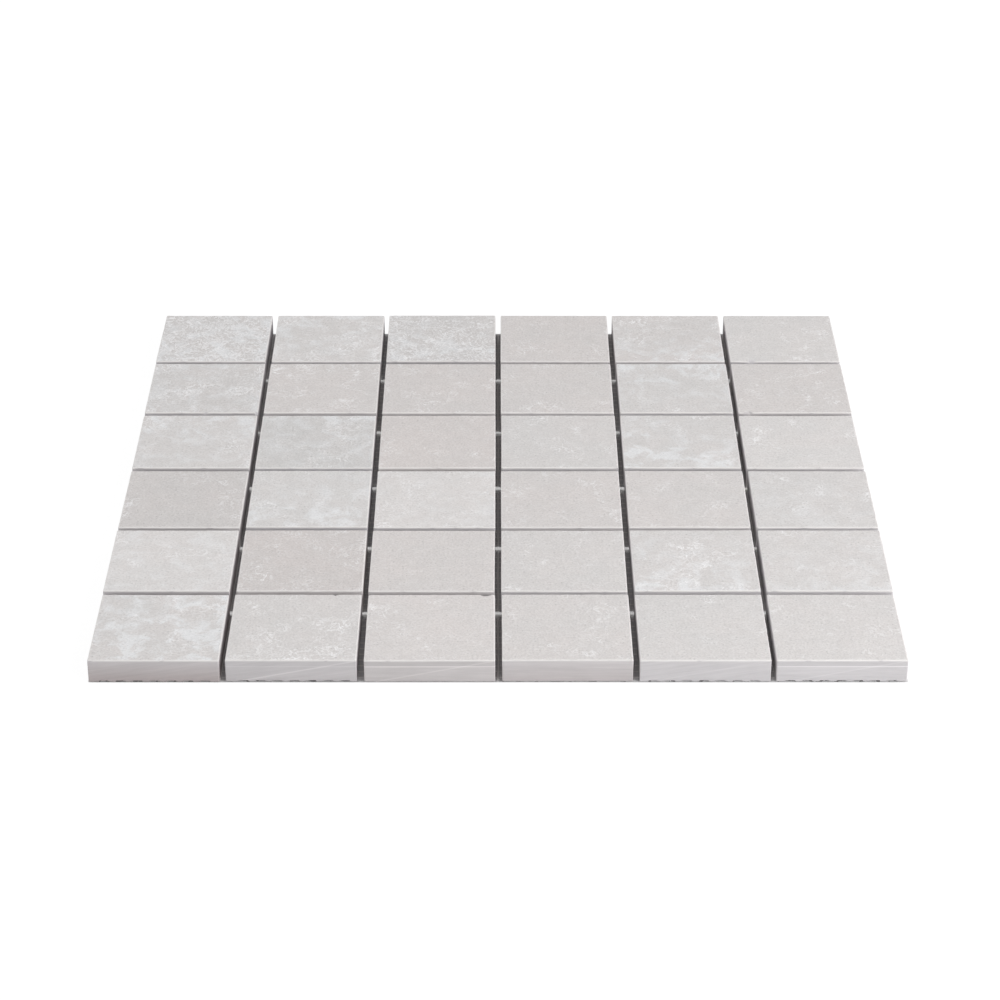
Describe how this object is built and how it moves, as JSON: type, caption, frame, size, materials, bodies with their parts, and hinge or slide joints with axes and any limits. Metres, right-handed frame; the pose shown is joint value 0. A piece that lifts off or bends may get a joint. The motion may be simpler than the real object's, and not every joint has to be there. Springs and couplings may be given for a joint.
{
  "type": "mosaic tile sheet",
  "caption": "Square mosaic sheet of pale grey concrete-look porcelain tiles on a glass-fibre net, with open joints.",
  "frame": {"origin": "middle of the sheet's back, on the plane that the net lies on", "axes": "+X along a row of tiles, +Y from the front row to the back row, +Z out of the visible face"},
  "size_m": [0.3004, 0.3004, 0.0093],
  "materials": {
    "porcelain": "matt, concrete look",
    "glass_fibre_net": "coated glass fibre",
    "adhesive": "dried white adhesive"
  },
  "bodies": {
    "root": {"tile_row1_col1": "porcelain", "tile_row1_col2": "porcelain", "tile_row1_col3": "porcelain", "tile_row1_col4": "porcelain", "tile_row1_col5": "porcelain", "tile_row1_col6": "porcelain", "tile_row2_col1": "porcelain", "tile_row2_col2": "porcelain", "tile_row2_col3": "porcelain", "tile_row2_col4": "porcelain", "tile_row2_col5": "porcelain", "tile_row2_col6": "porcelain", "tile_row3_col1": "porcelain", "tile_row3_col2": "porcelain", "tile_row3_col3": "porcelain", "tile_row3_col4": "porcelain", "tile_row3_col5": "porcelain", "tile_row3_col6": "porcelain", "tile_row4_col1": "porcelain", "tile_row4_col2": "porcelain", "tile_row4_col3": "porcelain", "tile_row4_col4": "porcelain", "tile_row4_col5": "porcelain", "tile_row4_col6": "porcelain", "tile_row5_col1": "porcelain", "tile_row5_col2": "porcelain", "tile_row5_col3": "porcelain", "tile_row5_col4": "porcelain", "tile_row5_col5": "porcelain", "tile_row5_col6": "porcelain", "tile_row6_col1": "porcelain", "tile_row6_col2": "porcelain", "tile_row6_col3": "porcelain", "tile_row6_col4": "porcelain", "tile_row6_col5": "porcelain", "tile_row6_col6": "porcelain", "net_weft": "glass_fibre_net", "net_warp": "glass_fibre_net", "adhesive_dabs": "adhesive"}
  },
  "joints": []
}
